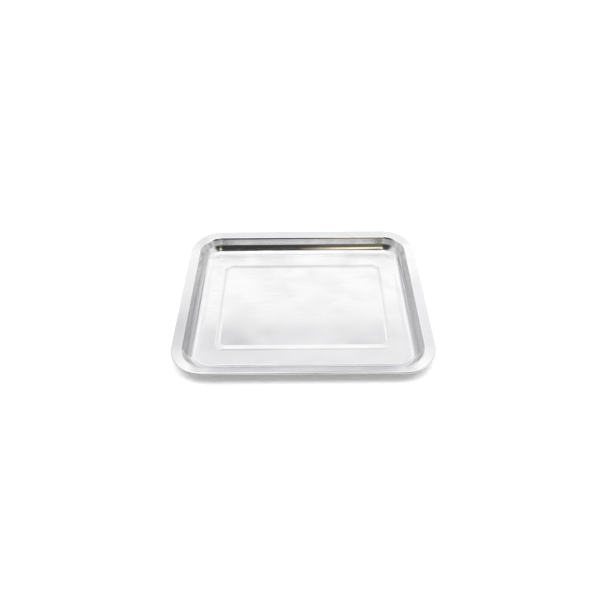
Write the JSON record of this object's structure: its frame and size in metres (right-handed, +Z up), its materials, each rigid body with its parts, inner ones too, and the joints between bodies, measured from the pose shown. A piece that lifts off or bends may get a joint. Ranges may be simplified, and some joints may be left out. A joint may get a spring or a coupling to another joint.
{
  "type": "developing tray",
  "caption": "Shallow rectangular stainless steel tray with rounded corners, a rim folded over a stiffening wire and a low raised panel in the floor.",
  "frame": {"origin": "on the table, under the centre of the tray (bottom centre of the bounding box)", "axes": "+X along the long side, +Y along the short side towards the back, +Z up out of the tray"},
  "size_m": [0.325, 0.265, 0.0216],
  "materials": {
    "pressed_stainless": "bright pressed stainless sheet with a faint rolling grain, satin to semi-mirror",
    "rim_wire_steel": "plain drawn steel wire, dull grey, hidden inside the rolled rim"
  },
  "bodies": {
    "root": {"tray_shell": "pressed_stainless", "rim_wire": "rim_wire_steel"}
  },
  "joints": []
}
